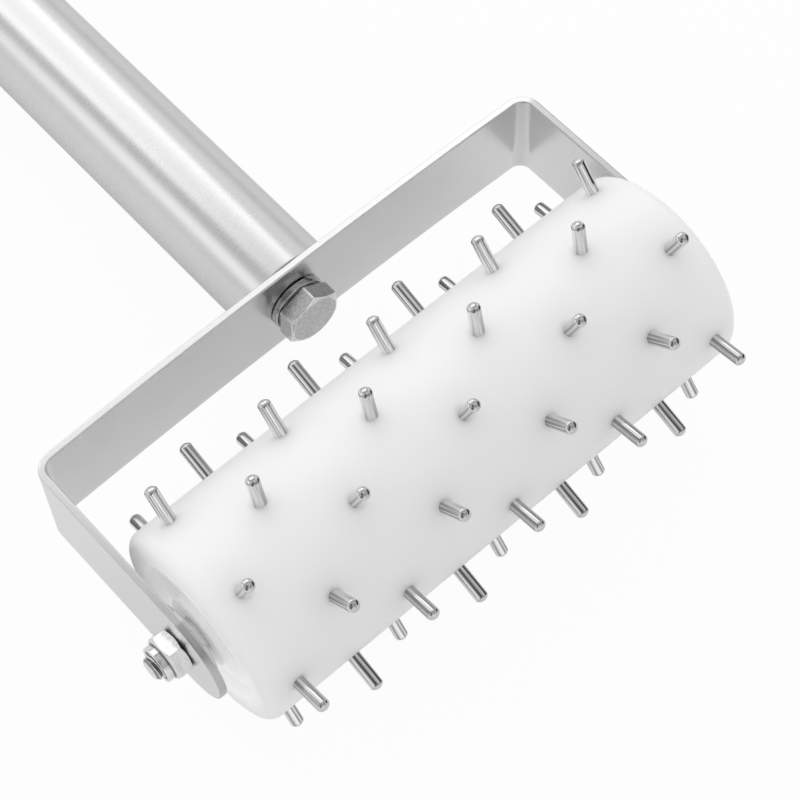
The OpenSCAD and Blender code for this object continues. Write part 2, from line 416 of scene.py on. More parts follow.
# %% The handle bolt
BOLT_FLATS = 13 * mm
BOLT_HEX = 4.3 * mm
BOLT_SEAT = 0.5 * mm
SEAT_RADIUS = 5.8 * mm
BOLT_RADIUS = 4 * mm
BOLT_CHAMFER = 0.8 * mm
BOLT_EASE = 0.15 * mm
BOLT_TURN = radians(25)

head_base = low("handle_bolt", back) + BOLT_HEX + BOLT_SEAT
facing_roller = place(-back, along, axle + back * head_base)


def bolt_rings():
    """From pole to pole: the head's face, its sides, the round seat, and the shank with a chamfered
    end."""
    front = BOLT_SEAT + BOLT_HEX
    end = head_base - high("handle_bolt", back)
    head = rings_of([(0, front)]) + hexagon_sides(BOLT_FLATS, BOLT_SEAT, front)[::-1]
    shank = rings_of([
        (SEAT_RADIUS, BOLT_SEAT), (SEAT_RADIUS, 0), (BOLT_RADIUS, 0), (BOLT_RADIUS, end + BOLT_CHAMFER),
        (BOLT_RADIUS - BOLT_CHAMFER, end), (0, end),
    ])
    return turned_by(head + shank, BOLT_TURN)


bolt_grid = moved(facing_roller, bolt_rings())
bolt = make("handle_bolt_piece", [bolt_grid], "frame", "handle_bolt", looped=False)
ease_edges(bolt, BOLT_EASE)

# %% [markdown]
# ## Spring washer
# A spring washer is square wire wound into one turn and cut through at a slant. The winding leaves its
# two ends slightly out of line, which shows as a step at the slit. A torus with a boolean cut would show
# no step, so it is a rounded square carried around the bolt, with caps where the slit cuts it.

# %% The spring washer
SPRING_INNER = 4.2 * mm
SPRING_OUTER = 7 * mm
SPRING_THICK = 2 * mm
SPRING_EDGE = 0.35 * mm
SPRING_STEP = 0.25 * mm
SPRING_RINGS = 90
SLIT = 0.15 * mm
SLIT_TURN = radians(30)


def spring_washer_grid():
    """Square section carried around Z: it rises by the step in one turn. Near the slit a point is turned
    on by its height over the middle, in outer radii, so both ends lean the same way. Each cap is a ring
    that falls together in the middle of its end."""
    bottom, top = SPRING_STEP / 2, SPRING_THICK - SPRING_STEP / 2
    section = rounded([
        (SPRING_INNER, bottom, SPRING_EDGE), (SPRING_OUTER, bottom, SPRING_EDGE),
        (SPRING_OUTER, top, SPRING_EDGE), (SPRING_INNER, top, SPRING_EDGE),
    ], steps=4)
    radius, height = section[:, 0], section[:, 1]
    share = np.linspace(0, 1, SPRING_RINGS)[:, None]
    gap = SLIT / 2 / SPRING_OUTER
    lean = (height - SPRING_THICK / 2) / SPRING_OUTER * np.cos(pi * share) ** 2
    angle = gap + share * (2 * pi - 2 * gap) + lean
    grid = around(angle, radius, height + (share - 0.5) * SPRING_STEP)
    caps = np.broadcast_to(grid[[0, -1]].mean(axis=1, keepdims=True), grid[[0, -1]].shape)
    return np.concatenate([caps[:1], grid, caps[1:]])


slit_place = facing_roller @ Matrix.Rotation(pi / 2 - SLIT_TURN, 4, "Z")
spring_grid = moved(slit_place, spring_washer_grid() * [1, 1, -1])
make("spring_washer_piece", [spring_grid], "frame", "spring_washer", looped=False)

# %% [markdown]
# ## Yoke
# The yoke is flat bar bent twice. A curve with a bevel object could carry the bar's section around the
# bends, but not give its ends their round shape. So the section, a thin rectangle with eased edges, is
# carried along the middle line of the bar: up one arm, around a bend, across the back, around the other
# bend and down. At the arms' ends each point of the section follows a circle of its own.

# %% The bar's section
BAR_WIDTH = 25 * mm
BAR_THICK = 1.8 * mm
BAR_EDGE = 0.3 * mm


def bar_section():
    """Points around the bar's section: how far out of its middle plane each lies, how far inside the
    bar's edge, and on which side of its middle line."""
    half_thick = BAR_THICK / 2
    edge = rounded([
        (-half_thick, BAR_WIDTH / 4, 0), (-half_thick, 0, BAR_EDGE), (half_thick, 0, BAR_EDGE),
        (half_thick, BAR_WIDTH / 4, 0),
    ])
    offset = np.concatenate([edge[:, 0], edge[::-1, 0]])
    inset = np.concatenate([edge[:, 1], edge[::-1, 1]])
    side = np.concatenate([np.ones(len(edge)), -np.ones(len(edge))])
    return offset, inset, side


print("the bar's section has", len(bar_section()[0]), "points")

# %% The section carried along the bar
BEND_INNER = 3 * mm
ARM_OVER = 1 * mm
END_STEPS = 24
ARM_STEPS = 6
BEND_STEPS = 18
BACK_STEPS = 32

arm_left = low("yoke", along)
arm_right = high("yoke", along)
yoke_back = high("yoke", back)


def yoke_grid():
    """On an arm's round end a point runs on a circle of half the width less its inset. On an arm and on
    the back it runs straight, and on a bend it turns about the bend's middle. The left half mirrors the
    right."""
    offset, inset, side = bar_section()
    reach = BAR_WIDTH / 2 - inset
    bend_radius = BEND_INNER + BAR_THICK / 2
    arm_x = (arm_right - arm_left - BAR_THICK) / 2
    bend_x, bend_y = arm_x - bend_radius, yoke_back - BAR_THICK / 2 - bend_radius
    angle = np.linspace(0, pi / 2, END_STEPS + 1)[:, None]
    round_end = grid_of(arm_x + offset, -ARM_OVER - reach * np.cos(angle), side * reach * np.sin(angle))
    arm_y = np.linspace(0, bend_y, ARM_STEPS + 1)[1:-1, None]
    arm = grid_of(arm_x + offset, arm_y, side * reach)
    angle = np.linspace(0, pi / 2, BEND_STEPS + 1)[:, None]
    turning = bend_radius + offset
    bend = grid_of(bend_x + turning * np.cos(angle), bend_y + turning * np.sin(angle), side * reach)
    back_x = np.linspace(bend_x, -bend_x, BACK_STEPS + 1)[1:-1, None]
    across = grid_of(back_x, bend_y + turning, side * reach)
    half_bar = np.concatenate([round_end, arm, bend])
    grid = np.concatenate([half_bar, across, half_bar[::-1] * [-1, 1, 1]])
    return grid + [(arm_left + arm_right) / 2, 0, 0]


print("the bar's grid is", yoke_grid().shape)

# %% [markdown]
# Tightening the bolt has pulled the middle of the bar's back against the tube, so the back is slightly
# bowed and askew. It shows in the photograph as a long edge that isn't quite straight. A lattice could
# bend the bar. Here its points are moved by a parabola, which is shorter.

# %% The yoke, slightly bowed
BAR_BOW = 1.2 * mm
BAR_SKEW = 0.0092

on_yoke = place(up, along, axle)


def bowed(grid):
    """y grows by the skew times x, less the bow times the square of x over the arm's own x. Both fade
    away along the arms."""
    x, y, z = np.moveaxis(grid, -1, 0)
    share = np.clip(y / yoke_back, 0, 1)
    return grid_of(x, y + share * (BAR_SKEW * x - BAR_BOW * (x / arm_right) ** 2), z)


make("yoke_bar", [moved(on_yoke, bowed(yoke_grid()))], "frame", "yoke", looped=False)

# %% [markdown]
# ## Handle
# The handle is thin stainless tube, cut square and butted against the bar. A pressed cap closes its far
# end. A cylinder with a solidify modifier would do for the tube, but not for the cap's skirt, so both are
# turned outlines along the handle.

# %% The handle tube
TUBE_RADIUS = 12.7 * mm
TUBE_WALL = 1.2 * mm
TUBE_EDGE = 0.25 * mm

tube_start = low("handle_tube", back)
tube_end = high("handle_tube", back)
tube_inner = TUBE_RADIUS - TUBE_WALL
tube_outline = rounded([
    (tube_inner, tube_start, TUBE_EDGE), (TUBE_RADIUS, tube_start, TUBE_EDGE),
    (TUBE_RADIUS, tube_end, TUBE_EDGE), (tube_inner, tube_end, TUBE_EDGE),
])
make("handle_tube_piece", [turned(tube_outline, on_handle(0), steps=128)], "frame", "handle_tube")

# %% Its cap
CAP_EDGE = 1 * mm
SKIRT_WALL = 1.2 * mm

cap_end = high("handle_cap", back)
skirt_end = low("handle_cap", back)
skirt_inner = tube_inner - SKIRT_WALL
cap_outline = rounded([
    (0, cap_end, 0), (TUBE_RADIUS, cap_end, CAP_EDGE), (TUBE_RADIUS, tube_end, TUBE_EDGE),
    (tube_inner, tube_end, 0), (tube_inner, skirt_end, TUBE_EDGE),
    (skirt_inner, skirt_end, TUBE_EDGE), (skirt_inner, tube_end, TUBE_EDGE),
    (0, tube_end, 0),
])
cap_grid = turned(cap_outline, on_handle(0), steps=128)
make("handle_cap_piece", [cap_grid], "frame", "handle_cap", looped=False)

# %% [markdown]
# ## Axle bolt
# The axle bolt's head bears on the right arm. At the left its rolled thread stands out of the nut. A
# screw modifier winds a thread too, but joins it badly to a plain shank. On a grid of angle and height a
# thread needs no winding: the radius depends only on how far the height has run ahead of the angle,
# counted in pitches. A cone at the tip cuts the first turn away.

# %% The thread
AXLE_RADIUS = 3 * mm
THREAD_PITCH = 1 * mm
THREAD_DEPTH = 0.55 * mm
THREAD_LENGTH = 18 * mm
THREAD_TIP = 0.9 * mm
THREAD_RINGS = 20
FLANK_SLOPE = 1.3
CREST_SHARE = 0.15


def thread_rings():
    """The radius falls by the depth times a wave: twice the distance from half a turn ahead, made steeper
    by the slope and cut off at the crest and the root. The cone at the tip limits it."""
    height = np.arange(0, THREAD_LENGTH, THREAD_PITCH / THREAD_RINGS)[:, None]
    ahead = np.mod(height / THREAD_PITCH - hex_angle / (2 * pi), 1)
    wave = np.clip(2 * np.abs(ahead - 0.5) * FLANK_SLOPE - CREST_SHARE, 0, 1)
    radius = np.minimum(AXLE_RADIUS - THREAD_DEPTH * wave, AXLE_RADIUS - THREAD_TIP + height)
    return around(hex_angle, radius, height)


print("the thread's grid is", thread_rings().shape)

# %% The axle bolt
AXLE_FLATS = 10 * mm
AXLE_HEAD = 4 * mm
NUT_TURN = radians(25)

axle_tip = low("axle_bolt", along)


def axle_rings():
    """From the threaded tip through the plain shank to the chamfered head, pole to pole."""
    top = high("axle_bolt", along) - axle_tip
    tip = rings_of([(0, 0)])
    shank = rings_of([(AXLE_RADIUS, THREAD_LENGTH), (AXLE_RADIUS, top - AXLE_HEAD)])
    head = hexagon_sides(AXLE_FLATS, top - AXLE_HEAD, top) + rings_of([(0, top)])
    return np.concatenate([tip, thread_rings(), shank, turned_by(head, NUT_TURN)])


axle_grid = moved(on_axle(axle_tip), axle_rings())
make("axle_bolt_piece", [axle_grid], "frame", "axle_bolt", looped=False)

# %% [markdown]
# ## Nut
# The nut is a hexagon with chamfered corners at both ends. A round collar on its outer face has its rim
# rolled in over a nylon ring, which grips the thread. Outside and bore are one loop of rings, so the nut
# is a closed solid without a boolean.

# %% The nut
NUT_HEX = 4.2 * mm
NUT_FACE_SHARE = 0.9
NUT_BORE = 3.02 * mm
NUT_EASE = 0.06 * mm
COLLAR_HEIGHT = 1.8 * mm
COLLAR_RADIUS = 4.3 * mm
COLLAR_ROLL = 0.35 * mm
ROLL_STEPS = 8
RING_RADIUS = 3.7 * mm
RING_TOP = 0.9 * mm
RING_ROOM = 0.1 * mm

on_nut = place(-along, up, axle + along * high("axle_nut", along))


def nut_rings():
    """The hexagon's sides, then the collar, whose rim is half a circle, and back down the bore, which is
    wider where the nylon ring sits."""
    hexagon = hexagon_sides(AXLE_FLATS, 0, NUT_HEX, NUT_FACE_SHARE, both_ends=True)
    roll = np.linspace(0, pi, ROLL_STEPS + 1)
    rim_radius = COLLAR_RADIUS - COLLAR_ROLL + COLLAR_ROLL * np.cos(roll)
    rim_height = NUT_HEX + COLLAR_HEIGHT - COLLAR_ROLL + COLLAR_ROLL * np.sin(roll)
    seat, seat_top = RING_RADIUS + RING_ROOM, NUT_HEX + RING_TOP + RING_ROOM
    collar = [(COLLAR_RADIUS, NUT_HEX), *zip(rim_radius, rim_height)]
    bore = [(seat, seat_top), (seat, NUT_HEX), (NUT_BORE, NUT_HEX), (NUT_BORE, 0)]
    return np.concatenate([turned_by(hexagon, -NUT_TURN), rings_of(collar + bore)])


nut = make("axle_nut_piece", [moved(on_nut, nut_rings())], "frame", "axle_nut")
ease_edges(nut, NUT_EASE)

# %% Its nylon ring
RING_EDGE = 0.25 * mm

ring_outline = rounded([
    (NUT_BORE, NUT_HEX, 0), (RING_RADIUS, NUT_HEX, 0),
    (RING_RADIUS, NUT_HEX + RING_TOP, RING_EDGE), (NUT_BORE, NUT_HEX + RING_TOP, RING_EDGE),
])
make("nylon_ring", [turned(ring_outline, on_nut, steps=64)], "frame", "axle_nut_ring")

# %% [markdown]
# ## Side washers
# A large flat washer lies between each arm and the roller's hub. Washers are punched from sheet, which
# rounds their edges, so each is a rounded rectangle turned around the axle.

# %% The washers beside the roller
WASHER_RADIUS = 9 * mm
WASHER_BORE = 3.2 * mm
WASHER_EDGE = 0.3 * mm

for side in ("left", "right"):
    node = f"side_washer_{side}"
    start, end = low(node, along), high(node, along)
    outline = rounded([
        (WASHER_BORE, start, WASHER_EDGE), (WASHER_RADIUS, start, WASHER_EDGE),
        (WASHER_RADIUS, end, WASHER_EDGE), (WASHER_BORE, end, WASHER_EDGE),
    ])
    make(f"washer_{side}", [turned(outline, on_axle(0))], "frame", node)

# %% [markdown]
# ## Shader sums
# Materials are sums over values that change from point to point. In Blender each plus or times is a node,
# and a tree of dozens is hard to read. A small class wraps a socket, so that the sums can be written as
# Python expressions. Every node with inputs comes from one method.

# %% A socket that can be added and multiplied
def connect(tree, socket, value):
    """Links a field to a socket, or sets the socket's own value."""
    if isinstance(value, Field):
        tree.links.new(value.socket, socket)
    else:
        socket.default_value = value


class Field:
    """A value at every point of a surface: the output socket of a node."""

    def __init__(self, tree, socket):
        self.tree = tree
        self.socket = socket

    def node(self, kind, settings=None, out=0, **inputs):
        """Adds a node, sets its settings and then its sockets. An s and a number name a socket by its
        place, and an underscore stands for a space."""
        node = self.tree.nodes.new(kind)
        for name, value in (settings or {}).items():
            setattr(node, name, value)
        for name, value in inputs.items():
            key = int(name[1:]) if name[1:].isdigit() else name.replace("_", " ")
            connect(self.tree, node.inputs[key], value)
        return Field(self.tree, node.outputs[out])

    def math(self, operation, *others):
        """A Math node with this field as its first value."""
        values = {f"s{i}": value for i, value in enumerate((self, *others))}
        return self.node("ShaderNodeMath", {"operation": operation}, **values)

    def __add__(self, other):
        return self.math("ADD", other)

    def __sub__(self, other):
        return self.math("SUBTRACT", other)

    def __mul__(self, other):
        return self.math("MULTIPLY", other)

    def __truediv__(self, other):
        return self.math("DIVIDE", other)

    def __rsub__(self, other):
        return self * -1 + other

    __radd__ = __add__
    __rmul__ = __mul__

    def ramp(self, start, end):
        """Runs smoothly from 0 at start to 1 at end."""
        settings = {"interpolation_type": "SMOOTHSTEP"}
        return self.node("ShaderNodeMapRange", settings, Value=self, From_Min=start, From_Max=end)

    def mix(self, first, second):
        """Runs from the first value to the second as this field runs from 0 to 1."""
        return self * (second - first) + first

    def tint(self, first, second):
        """Mixes two colours by this field."""
        colours = {"s6": (*first, 1), "s7": (*second, 1)}
        return self.node("ShaderNodeMix", {"data_type": "RGBA"}, out=2, Factor=self, **colours)

    def noise(self, waves, detail=2.0, rough=0.5):
        """Noise around 0.5 with so many waves to a unit of these coordinates."""
        return self.node("ShaderNodeTexNoise", Vector=self, Scale=waves, Detail=detail, Roughness=rough)

    def lines(self, waves, detail):
        """Noise with a number of waves for each axis, which draws it out into lines."""
        settings = {"operation": "MULTIPLY"}
        return self.node("ShaderNodeVectorMath", settings, s0=self, s1=waves).noise(1.0, detail)

    def bump(self, depth):
        """Normal of a surface whose height is this field times a depth."""
        return self.node("ShaderNodeBump", Height=self, Distance=depth, Strength=1.0)

    def split(self):
        """The three numbers of a vector."""
        x = self.node("ShaderNodeSeparateXYZ", Vector=self)
        return [Field(self.tree, output) for output in x.socket.node.outputs]


print("methods of a field:", [name for name in vars(Field) if not name.startswith("_")])

# %% [markdown]
# ## Finishes
# Each finish is a Principled shader whose colour, roughness and normal follow a pattern. The pattern
# starts from the object's own coordinates, because they stay with the piece when it turns. The nylon ring
# is the simplest: slightly yellow, and cloudy, because one noise mixes two tones and two roughnesses.

# %% Nylon
def grey(value):
    """A neutral tone."""
    return (value, value, value)


def start_material(name):
    """A material, its Principled shader, and the object's coordinates as a field."""
    material = bpy.data.materials.new(name)
    material.use_nodes = True
    tree = material.node_tree
    coordinates = tree.nodes.new("ShaderNodeTexCoord").outputs["Object"]
    return material, tree.nodes["Principled BSDF"], Field(tree, coordinates)


def finish(material, shader, **values):
    """Sets or links sockets of the shader; an underscore stands for a space."""
    for name, value in values.items():
        connect(material.node_tree, shader.inputs[name.replace("_", " ")], value)
    return material


def dress(material, *names):
    """Gives a material to pieces, and to CAD nodes that stay."""
    for name in names:
        target = pieces.get(name) or frame["nodes"][name]
        target.data.materials.clear()
        target.data.materials.append(material)
    print(material.name, "on", ", ".join(names))


NYLON_LIGHT = (0.86, 0.86, 0.82)
NYLON_DARK = (0.78, 0.78, 0.74)
NYLON_WAVES = 1200.0

nylon, shader, field = start_material("nylon")
cloudy = field.noise(NYLON_WAVES)
finish(nylon, shader, Base_Color=cloudy.tint(NYLON_LIGHT, NYLON_DARK), Roughness=cloudy.mix(0.35, 0.45))
dress(nylon, "nylon_ring")

# %% [markdown]
# ## Places of the pins in a pattern
# The roller and its pins share one need: both finishes must know how far a point is from the nearest
# pin's own axis. Handing all their places to the shader would take a node tree for each, but one rule
# finds them all. The angle around the axle, counted in rows, gives the nearest row. Every second row is
# shifted by half a pitch, and the distance along the axle then gives the nearest pin in that row.

# %% Distances from the nearest pin
ROW_STEP = 2 * pi / len(row_nodes)

first_out = row_direction("pin_row_1")
first_angle = float(np.arctan2(first_out.dot(along.cross(up)), first_out.dot(up)))


def seen_from(field, matrix):
    """The coordinates as measured from a piece's own place."""
    inverse = matrix.inverted()
    turn, shift = inverse.to_euler(), inverse.translation
    return field.node("ShaderNodeMapping", Vector=field, Location=shift, Rotation=turn)


def distance(a, b):
    """Square root of the sum of two squares."""
    return (a * a + b * b).math("SQRT")


def around_pins(field):
    """Radius from the axle, row number, and the offsets across and along the axle from the nearest
    pin."""
    x, y, z = seen_from(field, on_axle(0)).split()
    radius = distance(x, y)
    turns = (y.math("ARCTAN2", x) - first_angle) / ROW_STEP
    row = turns.math("ROUND")
    across = (turns - row) * radius * ROW_STEP
    shift = row.math("ABSOLUTE").math("MODULO", 2.0) * 0.5
    steps = z / PIN_PITCH - shift
    beside = (steps - steps.math("ROUND")) * PIN_PITCH
    return radius, row, across, beside


print("rows are", round(degrees(ROW_STEP)), "degrees apart, the first at", round(degrees(first_angle), 1))

# %% [markdown]
# ## White plastic
# The roller is a milky plastic. Light enters it and comes out again a few millimetres away, which
# subsurface scattering does, and which softens every shadow on it. Around each pin's root lies a faint
# grey ring of painted shade. The groove in each end face gets a painted glow: scattering alone brings
# too little light there, so the groove glows a little by itself.

# %% The roller's plastic
PLASTIC_TONE = 0.95
PIN_SHADE_TONE = 0.6
PIN_SHADE_START = 0.8 * PIN_RADIUS
PIN_SHADE_REACH = 3.4 * mm
PIN_SHADE_SHARE = 0.35
CLOUD_SHARE = 0.05
CLOUD_WAVES = 90.0
SKIN_WAVES = 700.0
SKIN_BUMP = 0.01 * mm
SCATTER = 14 * mm
# Strength of the painted glow in the end grooves.
GROOVE_PAINTED_GLOW = 0.2
GROOVE_GLOW_FROM = roller_end - 1.6 * GROOVE_DEPTH
GROOVE_GLOW_TO = roller_end - 1.1 * GROOVE_DEPTH

plastic, shader, field = start_material("white plastic")
radius, row, across, beside = around_pins(field)
# Painted shade: a faint grey ring around the root of each pin.
pin_shade = 1 - distance(across, beside).ramp(PIN_SHADE_START, PIN_SHADE_REACH)
_, _, from_middle = seen_from(field, on_axle(0)).split()
at_end = from_middle.math("ABSOLUTE").ramp(GROOVE_GLOW_FROM, GROOVE_GLOW_TO)
# Painted glow: the groove in each end face emits a little light.
painted_glow_mask = at_end * (1 - radius.ramp(GROOVE_RADIUS - ROLLER_EDGE / 2, ROLLER_RADIUS - ROLLER_EDGE / 2))
clouds = field.noise(CLOUD_WAVES, detail=3.0)
finish(
    plastic, shader,
    Base_Color=(pin_shade * pin_shade * PIN_SHADE_SHARE + clouds * CLOUD_SHARE).tint(grey(PLASTIC_TONE), grey(PIN_SHADE_TONE)),
    Roughness=clouds.mix(0.38, 0.48),
    Normal=field.noise(SKIN_WAVES, detail=3.0).bump(SKIN_BUMP),
    Subsurface_Weight=1.0,
    Subsurface_Radius=(1.0, 1.0, 1.0),
    Subsurface_Scale=SCATTER,
    Emission_Color=painted_glow_mask.tint(grey(0), grey(1)),
    Emission_Strength=GROOVE_PAINTED_GLOW,
)
dress(plastic, "roller")

# %% [markdown]
# ## Drawn and polished pins
# Steel rod is drawn through a die, which leaves fine lines along it. They reflect the room as long light
# and dark streaks. The domed tip was turned, so there the lines are rings about the pin's own axis. Both
# are noise on made-up coordinates: the streaks' hardly change along the pin, and the rings' change only
# with the distance from its axis. A shift for each row keeps the rows from looking alike.

# %% The pins' steel
STREAK_WAVES = 1500
STREAK_LONG_WAVES = 30
STREAK_SHIFT = 7
RING_WAVES = 2500
RING_SHIFT = 3
LINE_DARK = 0.3
LINE_BRIGHT = 0.85
LINE_BUMP = 0.04 * mm


def vector(x, y, z=0.0):
    """Fields joined to one vector."""
    return x.node("ShaderNodeCombineXYZ", X=x, Y=y, Z=z)


rod, shader, field = start_material("drawn steel")
radius, row, across, beside = around_pins(field)
streak_z = row * STREAK_SHIFT + radius * STREAK_LONG_WAVES
streaks = vector(across * STREAK_WAVES, beside * STREAK_WAVES, streak_z).noise(1.0, rough=0.6)
rings = vector(distance(across, beside) * RING_WAVES, row * RING_SHIFT).noise(1.0, rough=0.6)
on_tip = radius.ramp(PIN_TIP - 1.3 * PIN_DOME, PIN_TIP - 0.7 * PIN_DOME)
pattern = on_tip.mix(streaks, rings.mix(0.3, 0.7))
finish(
    rod, shader,
    Base_Color=pattern.ramp(0.35, 0.62).tint(grey(LINE_DARK), grey(LINE_BRIGHT)),
    Metallic=1.0,
    Roughness=pattern.mix(0.08, 0.18),
    Normal=pattern.bump(LINE_BUMP),
)
dress(rod, *[node.replace("pin_row", "pins") for node in row_nodes])

# %% [markdown]
# ## Steel of any tone
# Every other steel piece takes the same shader. They differ in tone, in how rough they are, and in the
# pattern that their making has left, so the pattern is a function that is handed in. Roughness and colour
# follow the same lines, because a scratch both scatters light and holds a little dirt.

# %% Steel
LINES_SHARE = 0.6
ROUGH_SPREAD = 0.06
GRAIN_WAVES = 2500.0
GRAIN_BUMP = 0.012 * mm
PATCH_WAVES = 600.0


def steel(name, tone, spread, rough, pattern, edge=1.0):
    """Steel of a tone: pattern takes the object's coordinates and gives the lines, the patches, a gain on
    the tone, and the bump. Edge is the share that is left of the mirroring where the surface is seen at a
    slant."""
    material, shader, field = start_material(name)
    lines, patches, gain, normal = pattern(field)
    shade = lines * LINES_SHARE + patches * (1 - LINES_SHARE)
    brightness = shade.ramp(0.3, 0.7).mix(tone - spread, tone + spread)
    return finish(
        material, shader,
        Base_Color=(brightness * gain).tint(grey(0), grey(1)),
        Metallic=1.0,
        Specular_Tint=(*grey(edge), 1),
        Roughness=shade.mix(rough - ROUGH_SPREAD, rough + ROUGH_SPREAD),
        Normal=normal,
    )


def speckle(field):
    """Grains without a direction, as on punched and cold formed pieces."""
    grains = field.noise(GRAIN_WAVES, detail=3.0, rough=0.6)
    return grains, field.noise(PATCH_WAVES), 1.0, grains.bump(GRAIN_BUMP)


punched = steel("punched steel", tone=0.62, spread=0.08, rough=0.24, pattern=speckle)
dress(punched, "washer_left", "washer_right", "axle_sleeve", "handle_plug")
spring_steel = steel("spring steel", tone=0.5, spread=0.14, rough=0.2, pattern=speckle)
dress(spring_steel, "spring_washer_piece")

# %% [markdown]
# ## Brushed tube
# The tube was polished around, so its lines are rings. Two layers of noise make such a surface: coarser
# lines that show in its tone, and fine ones that are too small to see but spread the reflections along
# the handle. Brushed metal mirrors less at a slant than a smooth one does, which the edge share gives it.

# %% Lines around the tube
TUBE_WAVES = (150.0, 150.0, 2500.0)
TUBE_FINE_WAVES = (300.0, 300.0, 12000.0)
TUBE_PATCH_WAVES = 70.0
TUBE_BUMP = 0.003 * mm


def tube_lines(field):
    """Noise with few waves across the handle and many along it."""
    own = seen_from(field, on_handle(0))
    lines = own.lines(TUBE_WAVES, detail=3.0)
    fine = own.lines(TUBE_FINE_WAVES, detail=1.0)
    return lines, field.noise(TUBE_PATCH_WAVES), 1.0, fine.bump(TUBE_BUMP)


brushed = steel("brushed tube", tone=0.67, spread=0.015, rough=0.28, pattern=tube_lines, edge=0.85)
dress(brushed, "handle_tube_piece", "handle_cap_piece")

# %% [markdown]
# ## Satin bar
# The bar was ground lengthwise before it was bent, so its lines turn the corners with it: along the axle
# on its back, and along the arms beyond the bends. Two sets of lines, and a mask that changes from one to
# the other in the bend, do that without a texture map. At the rims of the arms' round ends and along
# their narrow sides the colour is darkened, more so towards the right: that is painted shade.

# %% Lines along the bar
EDGE_PAINTED_SHADE = 0.3
BACK_WAVES = (150.0, 9000.0, 9000.0)
ARM_WAVES = (9000.0, 150.0, 9000.0)
BAR_PATCH_WAVES = 110.0
BAR_BUMP = 0.006 * mm


def painted_edge_shade(x, y, z):
    """Painted shade: 1 at the rim of the arms' round ends, half the width from their middle, and on the
    arms' narrow sides, where it grows from left to right."""
    half_width = BAR_WIDTH / 2
    from_end = distance(y + ARM_OVER, z)
    on_rim = from_end.ramp(half_width - 2 * BAR_EDGE, half_width - BAR_EDGE)
    past_axle = 1 - y.ramp(-BAR_THICK, 0.0)
    narrow = z.math("ABSOLUTE").ramp(half_width - BAR_EDGE, half_width - BAR_EDGE / 4)
    to_bend = yoke_back - BAR_THICK - BEND_INNER
    on_arms = 1 - y.ramp(to_bend, to_bend + BAR_THICK)
    to_right = x.ramp(-6 * BAR_WIDTH, 3 * BAR_WIDTH)
    return (on_rim * past_axle).math("MAXIMUM", narrow * to_right * on_arms)


def bar_lines(field):
    """Lines along the axle, and lines along the handle where a point is farther out than the bend's
    middle."""
    own = seen_from(field, on_yoke)
    x, y, z = own.split()
    bend = (arm_right - arm_left) / 2 - BEND_INNER
    from_middle = (x - (arm_left + arm_right) / 2).math("ABSOLUTE")
    on_arm = from_middle.ramp(bend - BAR_THICK, bend)
    lines = on_arm.mix(own.lines(BACK_WAVES, detail=2.0), own.lines(ARM_WAVES, detail=2.0))
    # Painted shade darkens the rims of the arms' ends and their narrow sides.
    gain = 1 - painted_edge_shade(x, y, z) * EDGE_PAINTED_SHADE
    return lines, field.noise(BAR_PATCH_WAVES, detail=4.0), gain, lines.bump(BAR_BUMP)


dress(steel("satin bar", tone=0.725, spread=0.02, rough=0.25, pattern=bar_lines), "yoke_bar")

# %% [markdown]
# ## Bright plating
# The nut and the axle bolt are plated, which makes them smooth and bright. Painted shade darkens the
# thread's roots and the crease under the nut's collar. Both are rings about the axle, so a distance
# finds them, and no texture has to be painted.

# %% Plating with painted shade in its creases
CREASE = 0.5 * mm
CREASE_PAINTED_SHADE = 0.7


def creases_with_painted_shade(field):
    """Grains, with painted shade in a band of radius for the thread's roots, and near the circle where the
    collar starts."""
    grains, patches, _, normal = speckle(field)
    x, y, height = seen_from(field, on_nut).split()
    radius = distance(x, y)
    root = AXLE_RADIUS - THREAD_DEPTH
    in_root = radius.ramp(AXLE_RADIUS - THREAD_TIP, root) * (1 - radius.ramp(root, AXLE_RADIUS))
    in_crease = 1 - distance(radius - COLLAR_RADIUS, height - NUT_HEX).ramp(CREASE / 4, CREASE)
    # Painted shade in the thread's roots and under the collar.
    return grains, patches, 1 - in_root.math("MAXIMUM", in_crease) * CREASE_PAINTED_SHADE, normal


plating = steel("bright plating", tone=0.75, spread=0.08, rough=0.1, pattern=creases_with_painted_shade)
dress(plating, "axle_bolt_piece", "axle_nut_piece")

# %% [markdown]
# ## A bolt head with a painted highlight
# The handle bolt's head was cold formed, which leaves it greyer and grainy. Wrenches have rubbed its six
# corners bright, and its chamfer was turned and carries a painted highlight. The mask for the chamfer is
# the cone that made it, and the mask for the corners is the distance from the bolt's axis.

# %% The handle bolt's steel
HIGHLIGHT_AND_WEAR = 0.4
CONE_NEAR = 0.05 * mm
CONE_FAR = 0.12 * mm
CORNER_START_SHARE = 0.555
CORNER_END_SHARE = 0.572
HEAD_WAVES = 4000.0
HEAD_PATCH_WAVES = 1500.0


def head_highlight_and_wear(field):
    """Fine grains, brighter on the chamfer as a painted highlight, and on the worn corners. On the chamfer
    the height falls below the front by the slope times the radius beyond the round face."""
    x, y, z = seen_from(field, facing_roller).split()
    radius = distance(x, y)
    face = FACE_SHARE * BOLT_FLATS / 2
    cone = (face - radius) * CHAMFER_SLOPE + (BOLT_SEAT + BOLT_HEX)
    on_chamfer = 1 - (z - cone).math("ABSOLUTE").ramp(CONE_NEAR, CONE_FAR)
    on_corner = radius.ramp(CORNER_START_SHARE * BOLT_FLATS, CORNER_END_SHARE * BOLT_FLATS)
    grains = field.noise(HEAD_WAVES, detail=3.0, rough=0.6)
    # Painted highlight on the chamfer, and wear on the corners.
    gain = on_chamfer.math("MAXIMUM", on_corner) * HIGHLIGHT_AND_WEAR + 1
    return grains, field.noise(HEAD_PATCH_WAVES), gain, grains.bump(GRAIN_BUMP)


headed = steel("cold headed steel", tone=0.62, spread=0.14, rough=0.22, pattern=head_highlight_and_wear)
dress(headed, "handle_bolt_piece")

